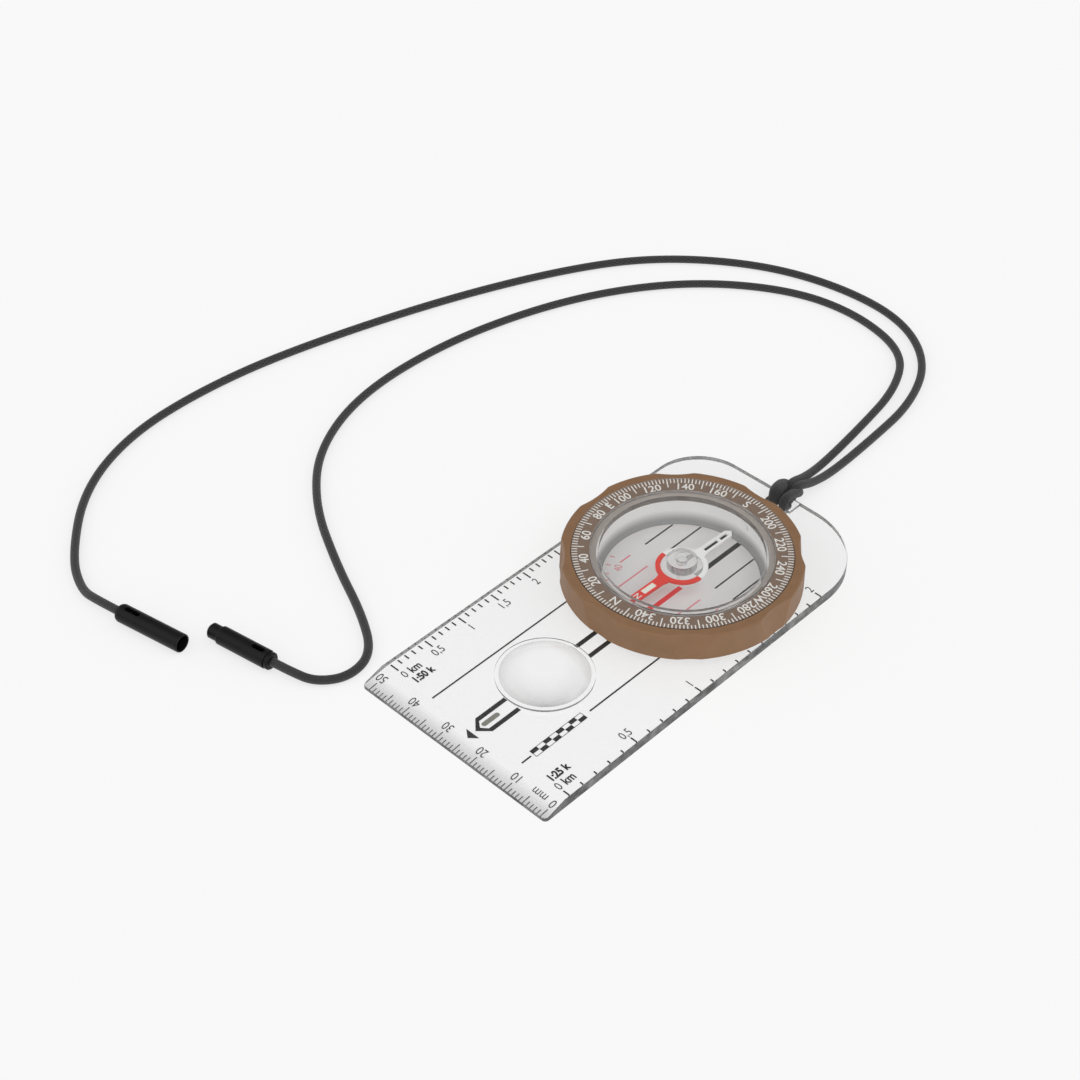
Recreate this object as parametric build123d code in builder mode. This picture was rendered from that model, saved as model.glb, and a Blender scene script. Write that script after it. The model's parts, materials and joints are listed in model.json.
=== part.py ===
from build123d import *

import os
from math import cos, pi, radians, sin, tan

# A baseplate compass lying flat. Millimetres, +Z up. The origin is on the underside at the centre of the
# plate, +Y is the direction of travel and +X is the user's right.

# Plate
PLATE_WIDTH = 53.6
PLATE_LENGTH = 108.0
PLATE_THICKNESS = 2.5
BEVEL_LENGTH = 5.8
BEVEL_EDGE = 0.8
CREASE_Y = PLATE_LENGTH / 2 - BEVEL_LENGTH
FRONT_CORNER = 1.0
LEFT_REAR_CORNER = 18.5
RIGHT_REAR_CORNER = 12.5
REAR_BOW = 0.5
FLARE = 1.2
FLARE_START = -4.0
FLARE_END = -37.0
TOP_EDGE = 0.3
LENS_Y = 26.4
LENS_ROOT = 1.25
LENS_RIM_RADIUS = 10.7
LENS_RADIUS = 9.8
LENS_STEP = 0.5
LENS_RISE = 3.6

# Lanyard slot, with the bar behind it thinned from below so that the cord passes under it
SLOT_WIDTH = 6.0
SLOT_DEPTH = 3.6
SLOT_CORNER = 0.8
SLOT_Y = -50.3
BAR_UNDERSIDE = 1.4
BAR_RELIEF_WIDTH = 7.0
BAR_RELIEF_LENGTH = 7.2
BAR_FRONT = SLOT_Y - SLOT_DEPTH / 2
REAR_EDGE = -PLATE_LENGTH / 2

# Dial and its place on the plate
DIAL_Y = -16.85
DIAL_GAP = 0.4
DIAL_HOLE_RADIUS = 20.75
COUNTERBORE_RADIUS = 22.4
COUNTERBORE_DEPTH = 1.1
GLIDE_INNER = 21.3
GLIDE_OUTER = 23.6
GLIDE_THICKNESS = 0.25
RING_BOTTOM = PLATE_THICKNESS + DIAL_GAP
RING_TOP = 9.45
RING_RADIUS = 26.9
RING_DRAFT = 0.1
RING_WALL = 1.6
RING_EDGE = 0.5
RIM_INNER = 24.55
WEB_BOTTOM = 7.6
WEB_TOP = 8.7
SLEEVE_OUTER = 21.6
SLEEVE_BOTTOM = 2.95
SCALLOPS = 8
SCALLOP_RADIUS = 20.4
SCALLOP_AXIS = 46.4
SCALLOP_TILT = 8.3

# Capsule. A hairline of air stays between the clear pieces and whatever they are pressed against.
HAIRLINE = 0.03
CUP_RADIUS = 20.4
CUP_INNER = 18.9
CUP_BOTTOM = 0.25
CUP_FLOOR = 0.9
CUP_TOP = 7.2
CUP_FILLET = 1.3
SCALE_INNER = 20.5
SCALE_OUTER = 24.4
SCALE_THICKNESS = 0.4
FLANGE_THICKNESS = 0.4
LID_UNDERSIDE = 9.0
LID_TOP = 9.8
LID_CHAMFER = 0.15
RIM_BOTTOM = 7.6
LID_INNER = 18.4
GASKET_INNER = 18.95
GASKET_OUTER = 20.35
DISC_RADIUS = 17.6
DISC_THICKNESS = 0.3
DISC_HOLE = 1.7
DISC_BOTTOM = CUP_FLOOR + HAIRLINE
RETAINER_RADIUS = 22.0
RETAINER_TOP = 0.8
FILLER_ANGLE = 264
FILLER_RADIUS = 1.2
FILLER_HEIGHT = 5.5
FILLER_PROUD = 0.3
FILLER_RECESS = 0.1

# Pivot and needle
FOOT_RADIUS = 1.6
POST_RADIUS = 0.8
POST_TOP = 4.3
PIN_RADIUS = 0.3
PIN_BOTTOM = 3.3
PIN_SHOULDER = 4.9
PIN_TIP = 5.6
PIN_POINT = 0.03
NEEDLE_TURN = -1.6
BLADE_BOTTOM = 4.3
BLADE_THICKNESS = 0.5
BLADE_RING_OUTER = 5.85
BLADE_RING_INNER = 4.75
NORTH_REACH = 15.6
NORTH_ROOT_WIDTH = 2.4
NORTH_TIP_WIDTH = 2.2
SOUTH_REACH = 16.3
SOUTH_WIDTH = 2.2
NECK_WIDTH = 3.6
NECK_LENGTH = 1.4
INSERT_START = 8.7
INSERT_END = 12.4
INSERT_WIDTH = 1.3
WINDOW_WIDTH = 1.0
WINDOWS = ((7.3, 11.8), (12.4, 15.0))
HUB_RADIUS = 4.7
HUB_BOTTOM = 4.35
HUB_DISC_TOP = 4.75
BOSS_RADIUS = 3.4
BOSS_TOP = 6.9
CAP_RADIUS = 1.6
CAP_TOP = 7.3
HUB_BORE = 1.2
JEWEL_RADIUS = 0.9
JEWEL_BOTTOM = 5.5
JEWEL_TOP = 6.1
JEWEL_CUP_TOP = 5.7
JEWEL_CUP_RADIUS = 0.55

# Lanyard cord, its hitch round the bar and the breakaway connector
CORD_DIAMETER = 2.0
CORD_REST = CORD_DIAMETER / 2
BEND_SHARE = 0.45
HITCH_WIDTH = 4.8
HITCH_FRONT = -50.45
HITCH_REAR = -55.6
HITCH_TOP = 4.8
HITCH_BOTTOM = 0.05
HITCH_ROUNDING = 0.6
HITCH_EXIT = 3.2
CONNECTOR_RADIUS = 2.15
CONNECTOR_BORE = 1.05
EDGE_BREAK = 0.2
SOCKET_NECK = ((0, 1.6), (0.35, 1.95), (0.9, 2.15))
PLUG_NECK = ((0, 1.7), (0.3, 2.0), (1.0, 2.0), (1.0, 1.85), (1.25, 1.85), (1.25, 2.05), (1.4, 2.15))
STOP_CHAMBER_START = 1.0
STOP_CHAMBER_END = 6.4
STOP_CHAMBER_RADIUS = 1.3
STOP_LENGTH = 2.6
STOP_RADIUS = 1.25
STOP_ROUNDING = 0.5
SOCKET_REAR = (79.85, 76.61)
SOCKET_HEADING = -169.5
SOCKET_LENGTH = 17.85
SOCKET_BORE_RADIUS = 1.8
SOCKET_BORE_DEPTH = 9.0
SOCKET_WINDOW = (2.0, 6.1)
PLUG_REAR = (44.28, 63.55)
PLUG_HEADING = 9.38
PLUG_BODY_LENGTH = 14.3
PLUG_NOSE_RADIUS = 1.78
PLUG_NOSE_LENGTH = 2.9
PLUG_NOSE_CHAMFER = 0.4
PLUG_WINDOW = (2.1, 5.4)
CONNECTOR_WINDOW_WIDTH = 1.15

# The two strands of the cord: the corners of their routes, first at the hitch and last at the connector.
# They lie on the ground, and rise at the slot and at the connectors.
STRAND_A_ROUTE = [
    (-1.0, HITCH_REAR, HITCH_EXIT),
    (-1.3, -61.0, 2.6),
    (-1.1, -69.0, CORD_REST),
    (-0.4, -84.0, CORD_REST),
    (1.2, -102.5, CORD_REST),
    (8.6, -118.8, CORD_REST),
    (24.0, -128.6, CORD_REST),
    (45.2, -128.6, CORD_REST),
    (66.3, -121.5, CORD_REST),
    (87.0, -105.4, CORD_REST),
    (100.5, -84.4, CORD_REST),
    (114.0, -51.6, CORD_REST),
    (125.3, -11.2, CORD_REST),
    (128.7, 14.5, CORD_REST),
    (127.5, 37.2, CORD_REST),
    (119.0, 56.9, CORD_REST),
    (102.5, 72.6, CORD_REST),
    (92.5, 77.6, CORD_REST),
    (86.05, 77.76, CONNECTOR_RADIUS),
]
STRAND_B_ROUTE = [
    (1.0, HITCH_REAR, HITCH_EXIT),
    (1.2, -61.5, 2.6),
    (2.3, -70.0, CORD_REST),
    (4.3, -86.0, CORD_REST),
    (7.3, -104.3, CORD_REST),
    (14.9, -117.6, CORD_REST),
    (32.8, -122.3, CORD_REST),
    (51.1, -119.1, CORD_REST),
    (70.1, -106.2, CORD_REST),
    (84.1, -88.2, CORD_REST),
    (93.8, -66.5, CORD_REST),
    (99.9, -39.9, CORD_REST),
    (99.8, -12.2, CORD_REST),
    (91.3, 9.1, CORD_REST),
    (76.6, 23.2, CORD_REST),
    (57.8, 33.2, CORD_REST),
    (42.5, 39.8, CORD_REST),
    (32.0, 46.4, CORD_REST),
    (30.2, 54.4, CORD_REST),
    (34.3, 60.4, CORD_REST),
    (39.35, 62.74, CONNECTOR_RADIUS),
]

DIAL = Plane.XY.shift_origin((0, DIAL_Y, 0))
DIAL_SECTION = Plane.XZ.offset(-DIAL_Y)
DIAL_AXIS = Axis((0, DIAL_Y, 0), (0, 0, 1))
NEEDLE = DIAL.rotated((0, 0, NEEDLE_TURN))


def save(piece, name):
    """Labels a finished piece and writes it as its own file."""
    piece.label = name
    export_step(piece, f"parts/{name}.step")


def turned(name, *outline):
    """A ring or disc turned about the dial's axis from a section given as (radius, height) points."""
    with BuildPart() as piece:
        with BuildSketch(DIAL_SECTION):
            with BuildLine():
                Polyline(*outline, close=True)
            make_face()
        revolve(axis=DIAL_AXIS)
    save(piece.part, name)


def turned_band(name, inner, outer, bottom, top):
    """A plain flat ring about the dial's axis."""
    turned(name, (inner, bottom), (outer, bottom), (outer, top), (inner, top))


def baseplate():
    """The clear plate, wider at its right rear: ruled bevel, moulded lens, dial hole and lanyard slot."""
    half_width = PLATE_WIDTH / 2
    flared = half_width + FLARE
    rear_y = REAR_EDGE + REAR_BOW
    with BuildPart() as piece:
        with BuildSketch():
            with BuildLine():
                front = Line((-half_width, PLATE_LENGTH / 2), (half_width, PLATE_LENGTH / 2))
                right = Line(front @ 1, (half_width, FLARE_START))
                flare = Spline(right @ 1, (flared, FLARE_END), tangents=((0, -1), (0, -1)))
                haunch = Line(flare @ 1, (flared, rear_y))
                rear = ThreePointArc(haunch @ 1, (0, REAR_EDGE), (-half_width, rear_y))
                Line(rear @ 1, front @ 0)
            make_face()
            fillet(vertices().group_by(Axis.Y)[-1], FRONT_CORNER)
            fillet(vertices().group_by(Axis.X)[0].sort_by(Axis.Y)[0], LEFT_REAR_CORNER)
            fillet(vertices().group_by(Axis.X)[-1].sort_by(Axis.Y)[0], RIGHT_REAR_CORNER)
        extrude(amount=PLATE_THICKNESS)
        with BuildSketch(Plane.YZ):
            with BuildLine():
                drop = PLATE_THICKNESS - BEVEL_EDGE
                Polyline(
                    (CREASE_Y, PLATE_THICKNESS),
                    (CREASE_Y + 2 * BEVEL_LENGTH, PLATE_THICKNESS - 2 * drop),
                    (CREASE_Y + 2 * BEVEL_LENGTH, PLATE_THICKNESS),
                    close=True,
                )
            make_face()
        extrude(amount=PLATE_WIDTH, both=True, mode=Mode.SUBTRACT)
        top = faces().sort_by(Axis.Z)[-1]
        crease = top.edges().sort_by(Axis.Y)[-1]
        bevel = [face for face in faces() if crease in face.edges() and face != top][0]
        rounded = [edge for edge in [*top.edges(), *bevel.edges()] if edge != crease]
        fillet(rounded, TOP_EDGE)
        with BuildSketch(Plane.XZ.offset(-LENS_Y)):
            with BuildLine():
                lens_edge = PLATE_THICKNESS + LENS_STEP
                base = Polyline(
                    (0, LENS_ROOT),
                    (LENS_RIM_RADIUS, LENS_ROOT),
                    (LENS_RIM_RADIUS, lens_edge),
                    (LENS_RADIUS, lens_edge),
                )
                crown = (0, lens_edge + LENS_RISE)
                dome_radius = (LENS_RADIUS**2 + LENS_RISE**2) / (2 * LENS_RISE)
                RadiusArc(base @ 1, crown, -dome_radius)
                Line(crown, base @ 0)
            make_face()
        revolve(axis=Axis((0, LENS_Y, 0), (0, 0, 1)))
        with BuildSketch(DIAL):
            Circle(DIAL_HOLE_RADIUS)
        extrude(amount=PLATE_THICKNESS, mode=Mode.SUBTRACT)
        with BuildSketch(DIAL):
            Circle(COUNTERBORE_RADIUS)
        extrude(amount=COUNTERBORE_DEPTH, mode=Mode.SUBTRACT)
        with BuildSketch(Plane.XY.shift_origin((0, SLOT_Y, 0))):
            RectangleRounded(SLOT_WIDTH, SLOT_DEPTH, SLOT_CORNER)
        extrude(amount=PLATE_THICKNESS, mode=Mode.SUBTRACT)
        with BuildSketch(Plane.XY.shift_origin((0, SLOT_Y, 0))):
            Rectangle(BAR_RELIEF_WIDTH, BAR_RELIEF_LENGTH, align=(Align.CENTER, Align.MAX))
        extrude(amount=BAR_UNDERSIDE, mode=Mode.SUBTRACT)
    save(piece.part, "baseplate")


def grip_ring():
    """The rubbery bezel that the thumb turns: a wall with shallow scallops, a web and an inner sleeve."""
    wall_inner = RING_RADIUS - RING_WALL
    with BuildPart() as piece:
        with BuildSketch(DIAL_SECTION):
            with BuildLine():
                Polyline(
                    (CUP_RADIUS + HAIRLINE, SLEEVE_BOTTOM),
                    (SLEEVE_OUTER, SLEEVE_BOTTOM),
                    (SLEEVE_OUTER, WEB_BOTTOM),
                    (wall_inner, WEB_BOTTOM),
                    (wall_inner, RING_BOTTOM),
                    (RING_RADIUS + RING_DRAFT, RING_BOTTOM),
                    (RING_RADIUS, RING_TOP),
                    (RIM_INNER, RING_TOP),
                    (RIM_INNER, WEB_TOP),
                    (CUP_RADIUS + HAIRLINE, WEB_TOP),
                    close=True,
                )
            section = make_face()
            fillet(section.vertices().group_by(Axis.Y)[-1].sort_by(Axis.X)[-1], RING_EDGE)
        revolve(axis=DIAL_AXIS)
        tilt = radians(SCALLOP_TILT)
        for index in range(SCALLOPS):
            around = 2 * pi * index / SCALLOPS
            foot = (SCALLOP_AXIS * cos(around), DIAL_Y + SCALLOP_AXIS * sin(around), RING_TOP)
            lean = (-sin(tilt) * cos(around), -sin(tilt) * sin(around), cos(tilt))
            with BuildSketch(Plane(origin=foot, z_dir=lean)):
                Circle(SCALLOP_RADIUS)
            extrude(amount=2 * RING_TOP, both=True, mode=Mode.SUBTRACT)
    save(piece.part, "grip_ring")


def capsule_cover():
    """The clear lid: a flange over the printed scale, a raised window and a deep rim on the cup."""
    flange_bottom = WEB_TOP + SCALE_THICKNESS + 2 * HAIRLINE
    flange_top = flange_bottom + FLANGE_THICKNESS
    turned(
        "capsule_cover",
        (0, LID_UNDERSIDE),
        (LID_INNER, LID_UNDERSIDE),
        (LID_INNER, RIM_BOTTOM),
        (CUP_RADIUS, RIM_BOTTOM),
        (CUP_RADIUS, flange_bottom),
        (SCALE_OUTER, flange_bottom),
        (SCALE_OUTER, flange_top),
        (CUP_RADIUS, flange_top),
        (CUP_RADIUS, LID_TOP - LID_CHAMFER),
        (CUP_RADIUS - LID_CHAMFER, LID_TOP),
        (0, LID_TOP),
    )


def filler_axis():
    """The plane on the outside of the cup that the filler plug points inwards from."""
    around = radians(FILLER_ANGLE)
    outward = (cos(around), sin(around), 0)
    mouth = (CUP_RADIUS * outward[0], DIAL_Y + CUP_RADIUS * outward[1], FILLER_HEIGHT)
    return Plane(origin=mouth, z_dir=(-outward[0], -outward[1], 0))


def capsule_base():
    """The clear cup that holds the liquid, with a hole in its wall for the filler plug."""
    with BuildPart() as piece:
        with BuildSketch(DIAL_SECTION):
            with BuildLine():
                Polyline(
                    (0, CUP_BOTTOM),
                    (CUP_RADIUS, CUP_BOTTOM),
                    (CUP_RADIUS, CUP_TOP),
                    (CUP_INNER, CUP_TOP),
                    (CUP_INNER, CUP_FLOOR),
                    (0, CUP_FLOOR),
                    close=True,
                )
            section = make_face()
            inside = section.vertices().filter_by_position(Axis.Y, CUP_FLOOR, CUP_FLOOR).sort_by(Axis.X)[-1]
            fillet(inside, CUP_FILLET)
        revolve(axis=DIAL_AXIS)
        with BuildSketch(filler_axis().offset(-FILLER_RADIUS)):
            Circle(FILLER_RADIUS)
        extrude(amount=2 * FILLER_RADIUS + CUP_RADIUS - CUP_INNER, mode=Mode.SUBTRACT)
    save(piece.part, "capsule_base")


def filler_plug():
    """The plug that closes the filling hole, proud of the wall on the inside."""
    with BuildPart() as piece:
        with BuildSketch(filler_axis().offset(FILLER_RECESS)):
            Circle(FILLER_RADIUS - HAIRLINE)
        extrude(amount=CUP_RADIUS - CUP_INNER - FILLER_RECESS + FILLER_PROUD)
    save(piece.part, "filler_plug")


def pivot_post():
    """The post that stands through the orienting disc and carries the pivot pin."""
    with BuildPart() as piece:
        with BuildSketch(DIAL.offset(DISC_BOTTOM)):
            Circle(FOOT_RADIUS)
        extrude(amount=DISC_THICKNESS)
        with BuildSketch(DIAL.offset(DISC_BOTTOM)):
            Circle(POST_RADIUS)
        extrude(amount=POST_TOP - DISC_BOTTOM)
        with BuildSketch(DIAL.offset(PIN_BOTTOM)):
            Circle(PIN_RADIUS)
        extrude(amount=POST_TOP - PIN_BOTTOM, mode=Mode.SUBTRACT)
    save(piece.part, "pivot_post")


def pivot_pin():
    """The steel point that the needle balances on."""
    turned(
        "pivot_pin",
        (0, PIN_BOTTOM),
        (PIN_RADIUS, PIN_BOTTOM),
        (PIN_RADIUS, PIN_SHOULDER),
        (PIN_POINT, PIN_TIP),
        (0, PIN_TIP),
    )


def needle_blade():
    """The stamped and magnetised blade: a ring round the hub with a north arm and a south arm."""
    with BuildPart() as piece:
        with BuildSketch(NEEDLE.offset(BLADE_BOTTOM)):
            Circle(BLADE_RING_OUTER)
            neck_end = BLADE_RING_OUTER + NECK_LENGTH
            half_root = NORTH_ROOT_WIDTH / 2
            half_tip = NORTH_TIP_WIDTH / 2
            with BuildLine():
                Polyline(
                    (-NECK_WIDTH / 2, 0),
                    (-NECK_WIDTH / 2, BLADE_RING_INNER),
                    (-half_root, neck_end),
                    (-half_tip, NORTH_REACH),
                    (half_tip, NORTH_REACH),
                    (half_root, neck_end),
                    (NECK_WIDTH / 2, BLADE_RING_INNER),
                    (NECK_WIDTH / 2, 0),
                    close=True,
                )
            make_face()
            half_south = SOUTH_WIDTH / 2
            with BuildLine():
                Polyline(
                    (-NECK_WIDTH / 2, 0),
                    (-NECK_WIDTH / 2, -BLADE_RING_INNER),
                    (-half_south, -neck_end),
                    (-half_south, half_south - SOUTH_REACH),
                    (0, -SOUTH_REACH),
                    (half_south, half_south - SOUTH_REACH),
                    (half_south, -neck_end),
                    (NECK_WIDTH / 2, -BLADE_RING_INNER),
                    (NECK_WIDTH / 2, 0),
                    close=True,
                )
            make_face()
            Circle(BLADE_RING_INNER, mode=Mode.SUBTRACT)
            with Locations((0, (INSERT_START + INSERT_END) / 2)):
                Rectangle(INSERT_WIDTH, INSERT_END - INSERT_START, mode=Mode.SUBTRACT)
            for near, far in WINDOWS:
                with Locations((0, -(near + far) / 2)):
                    Rectangle(WINDOW_WIDTH, far - near, mode=Mode.SUBTRACT)
        extrude(amount=BLADE_THICKNESS)
    save(piece.part, "needle_blade")


def luminous_insert():
    """The luminous strip in the north arm's window."""
    with BuildPart() as piece:
        with BuildSketch(NEEDLE.offset(BLADE_BOTTOM)):
            with Locations((0, (INSERT_START + INSERT_END) / 2)):
                Rectangle(INSERT_WIDTH, INSERT_END - INSERT_START)
        extrude(amount=BLADE_THICKNESS)
    save(piece.part, "luminous_insert")


def needle_hub():
    """The clear hub: a disc inside the blade's ring, a boss and a cap, bored from below for the pivot."""
    turned(
        "needle_hub",
        (HUB_BORE, HUB_BOTTOM),
        (HUB_RADIUS, HUB_BOTTOM),
        (HUB_RADIUS, HUB_DISC_TOP),
        (BOSS_RADIUS, HUB_DISC_TOP),
        (BOSS_RADIUS, BOSS_TOP),
        (CAP_RADIUS, BOSS_TOP),
        (CAP_RADIUS, CAP_TOP),
        (0, CAP_TOP),
        (0, JEWEL_TOP),
        (JEWEL_RADIUS, JEWEL_TOP),
        (JEWEL_RADIUS, JEWEL_BOTTOM),
        (HUB_BORE, JEWEL_BOTTOM),
    )


def bearing_jewel():
    """The hard cup that rides on the point of the pin."""
    turned(
        "bearing_jewel",
        (0, JEWEL_CUP_TOP),
        (JEWEL_CUP_RADIUS, JEWEL_BOTTOM),
        (JEWEL_RADIUS - HAIRLINE, JEWEL_BOTTOM),
        (JEWEL_RADIUS - HAIRLINE, JEWEL_TOP - HAIRLINE),
        (0, JEWEL_TOP - HAIRLINE),
    )


def lanyard_hitch():
    """The cord's lark's head hitch round the bar, as one closed collar."""
    with BuildPart() as piece:
        with BuildSketch(Plane.YZ):
            with BuildLine():
                Polyline(
                    (HITCH_REAR, HITCH_BOTTOM),
                    (HITCH_FRONT, HITCH_BOTTOM),
                    (HITCH_FRONT, HITCH_TOP),
                    (HITCH_REAR, HITCH_TOP),
                    close=True,
                )
            collar = make_face()
            fillet(collar.vertices(), HITCH_ROUNDING)
            with BuildLine():
                Polyline(
                    (REAR_EDGE, BAR_UNDERSIDE),
                    (BAR_FRONT, BAR_UNDERSIDE),
                    (BAR_FRONT, PLATE_THICKNESS),
                    (REAR_EDGE, PLATE_THICKNESS),
                    close=True,
                )
            make_face(mode=Mode.SUBTRACT)
        extrude(amount=HITCH_WIDTH / 2, both=True)
    save(piece.part, "lanyard_hitch")


def connector_plane(rear, heading):
    """The upright plane along a connector: its first axis runs to the mouth, its second is up."""
    around = radians(heading)
    return Plane(
        origin=(rear[0], rear[1], CONNECTOR_RADIUS),
        x_dir=(cos(around), sin(around), 0),
        z_dir=(sin(around), -cos(around), 0),
    )


def connector_half(name, rear, heading, window, neck, front):
    """One half of the breakaway connector; neck and front hold its (distance, radius) points."""
    along = connector_plane(rear, heading)
    with BuildPart() as piece:
        with BuildSketch(along):
            with BuildLine():
                Polyline(
                    (0, CONNECTOR_BORE),
                    *neck,
                    *front,
                    (STOP_CHAMBER_END, STOP_CHAMBER_RADIUS),
                    (STOP_CHAMBER_START, STOP_CHAMBER_RADIUS),
                    (STOP_CHAMBER_START, CONNECTOR_BORE),
                    close=True,
                )
            make_face()
        revolve(axis=Axis(along.origin, along.x_dir))
        top = Plane(origin=along.origin, x_dir=along.x_dir, z_dir=(0, 0, 1))
        start, end = window
        with BuildSketch(top):
            with Locations(((start + end) / 2, 0)):
                SlotOverall(end - start, CONNECTOR_WINDOW_WIDTH)
        extrude(amount=2 * CONNECTOR_RADIUS, mode=Mode.SUBTRACT)
    save(piece.part, name)


def breakaway_socket():
    """The socket half, with the bore that takes the plug's nose."""
    bore_bottom = SOCKET_LENGTH - SOCKET_BORE_DEPTH
    connector_half(
        "breakaway_socket",
        SOCKET_REAR,
        SOCKET_HEADING,
        SOCKET_WINDOW,
        SOCKET_NECK,
        (
            (SOCKET_LENGTH - EDGE_BREAK, CONNECTOR_RADIUS),
            (SOCKET_LENGTH, CONNECTOR_RADIUS - EDGE_BREAK / 2),
            (SOCKET_LENGTH, SOCKET_BORE_RADIUS + EDGE_BREAK / 2),
            (SOCKET_LENGTH - EDGE_BREAK / 2, SOCKET_BORE_RADIUS),
            (bore_bottom, SOCKET_BORE_RADIUS),
            (bore_bottom, 0),
            (STOP_CHAMBER_END, 0),
        ),
    )


def breakaway_plug():
    """The plug half, with its nose."""
    tip = PLUG_BODY_LENGTH + PLUG_NOSE_LENGTH
    connector_half(
        "breakaway_plug",
        PLUG_REAR,
        PLUG_HEADING,
        PLUG_WINDOW,
        PLUG_NECK,
        (
            (PLUG_BODY_LENGTH - EDGE_BREAK, CONNECTOR_RADIUS),
            (PLUG_BODY_LENGTH, CONNECTOR_RADIUS - EDGE_BREAK / 2),
            (PLUG_BODY_LENGTH, PLUG_NOSE_RADIUS),
            (tip - PLUG_NOSE_CHAMFER, PLUG_NOSE_RADIUS),
            (tip, PLUG_NOSE_RADIUS - PLUG_NOSE_CHAMFER),
            (tip, 0),
            (STOP_CHAMBER_END, 0),
        ),
    )


def cord_stop(name, rear, heading):
    """The melted end of a strand, thicker than the cord, which holds it in the connector's chamber."""
    along = connector_plane(rear, heading)
    with BuildPart() as piece:
        with BuildSketch(along):
            with Locations((STOP_CHAMBER_START, 0)):
                Rectangle(STOP_LENGTH, STOP_RADIUS, align=(Align.MIN, Align.MIN))
        revolve(axis=Axis(along.origin, along.x_dir))
        fillet(piece.edges().filter_by(GeomType.CIRCLE), STOP_ROUNDING)
    save(piece.part, name)


def inside_connector(rear, heading):
    """The point where a strand meets its stop."""
    return connector_plane(rear, heading).from_local_coords((STOP_CHAMBER_START, 0, 0))


def cord_strand(name, route, end):
    """One strand as a tube of straight runs joined by arcs as large as the runs allow."""
    points = [Vector(*point) for point in route] + [end]
    radii = []
    for before, corner, after in zip(points, points[1:], points[2:]):
        arriving = corner - before
        leaving = after - corner
        half_turn = radians(arriving.get_angle(leaving)) / 2
        radii.append(BEND_SHARE * min(arriving.length, leaving.length) / tan(half_turn))
    with BuildPart() as piece:
        with BuildLine() as path:
            FilletPolyline(*points, radius=radii)
        with BuildSketch(Plane(origin=points[0], z_dir=points[1] - points[0])):
            Circle(CORD_DIAMETER / 2)
        sweep(path=path.line)
    length = sum(edge.length for edge in path.line.edges())
    solid_length = piece.part.volume / (pi * CORD_DIAMETER**2 / 4)
    print(name, "length", round(length, 1), "from its volume", round(solid_length, 1))
    print(name, "corner radii", [round(radius, 1) for radius in radii])
    save(piece.part, name)


os.makedirs("parts", exist_ok=True)

baseplate()
turned_band("glide_washer", GLIDE_INNER, GLIDE_OUTER, PLATE_THICKNESS, PLATE_THICKNESS + GLIDE_THICKNESS)

grip_ring()
turned_band("scale_ring", SCALE_INNER, SCALE_OUTER, WEB_TOP, WEB_TOP + SCALE_THICKNESS)
capsule_cover()
turned_band("capsule_gasket", GASKET_INNER, GASKET_OUTER, CUP_TOP + HAIRLINE, RIM_BOTTOM - HAIRLINE)
capsule_base()
filler_plug()
turned_band("orienting_disc", DISC_HOLE, DISC_RADIUS, DISC_BOTTOM, DISC_BOTTOM + DISC_THICKNESS)
pivot_post()
pivot_pin()
turned_band("retaining_ring", CUP_RADIUS + HAIRLINE, RETAINER_RADIUS, CUP_BOTTOM, RETAINER_TOP)

needle_blade()
luminous_insert()
needle_hub()
bearing_jewel()

lanyard_hitch()
cord_strand("lanyard_strand_a", STRAND_A_ROUTE, inside_connector(SOCKET_REAR, SOCKET_HEADING))
cord_strand("lanyard_strand_b", STRAND_B_ROUTE, inside_connector(PLUG_REAR, PLUG_HEADING))
cord_stop("cord_stop_a", SOCKET_REAR, SOCKET_HEADING)
cord_stop("cord_stop_b", PLUG_REAR, PLUG_HEADING)
breakaway_socket()
breakaway_plug()
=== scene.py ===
"""The looks of a baseplate compass: materials, printed scales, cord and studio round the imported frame.

Blender units are metres. Sizes and places are written in millimetres, and become metres by MM or mm(),
unless a comment says otherwise. +Y is the direction of travel, +X the user's right and +Z up.
"""

import json
import math

import bmesh
import bpy
from mathutils import Matrix, Vector


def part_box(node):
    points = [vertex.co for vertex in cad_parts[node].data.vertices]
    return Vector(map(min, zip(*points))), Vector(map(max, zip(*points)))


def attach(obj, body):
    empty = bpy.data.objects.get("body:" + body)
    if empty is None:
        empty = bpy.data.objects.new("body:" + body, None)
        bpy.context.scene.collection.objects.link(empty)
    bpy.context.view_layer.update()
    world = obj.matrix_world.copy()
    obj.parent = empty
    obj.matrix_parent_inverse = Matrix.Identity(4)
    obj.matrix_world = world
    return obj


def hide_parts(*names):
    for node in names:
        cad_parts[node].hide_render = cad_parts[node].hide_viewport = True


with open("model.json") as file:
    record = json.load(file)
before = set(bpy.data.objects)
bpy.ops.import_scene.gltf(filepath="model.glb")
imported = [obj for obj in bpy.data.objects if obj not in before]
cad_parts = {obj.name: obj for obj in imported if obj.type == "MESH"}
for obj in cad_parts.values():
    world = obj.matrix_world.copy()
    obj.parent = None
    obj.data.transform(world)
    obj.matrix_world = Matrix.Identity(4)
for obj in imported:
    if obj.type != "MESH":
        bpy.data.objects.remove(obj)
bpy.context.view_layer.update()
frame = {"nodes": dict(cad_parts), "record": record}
scene = bpy.context.scene

MM = 0.001
PLATE = "baseplate"
DIAL = "dial"
NEEDLE = "needle"
NEEDLE_TURN = math.radians(-1.6)


def mm(*values):
    """A point given in millimetres, as a vector in metres."""
    return Vector([value * MM for value in values])


def joint_point(name):
    """The place of a joint's axis, in metres."""
    for joint in frame["record"]["behaviour"]["joints"]:
        if joint["name"] == name:
            return Vector(joint["pos_m"])
    raise ValueError(name)


def top_of(node):
    """The height of a node's highest point, in metres."""
    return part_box(node)[1].z


dial_centre = joint_point("dial_turn")


# Camera

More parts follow.
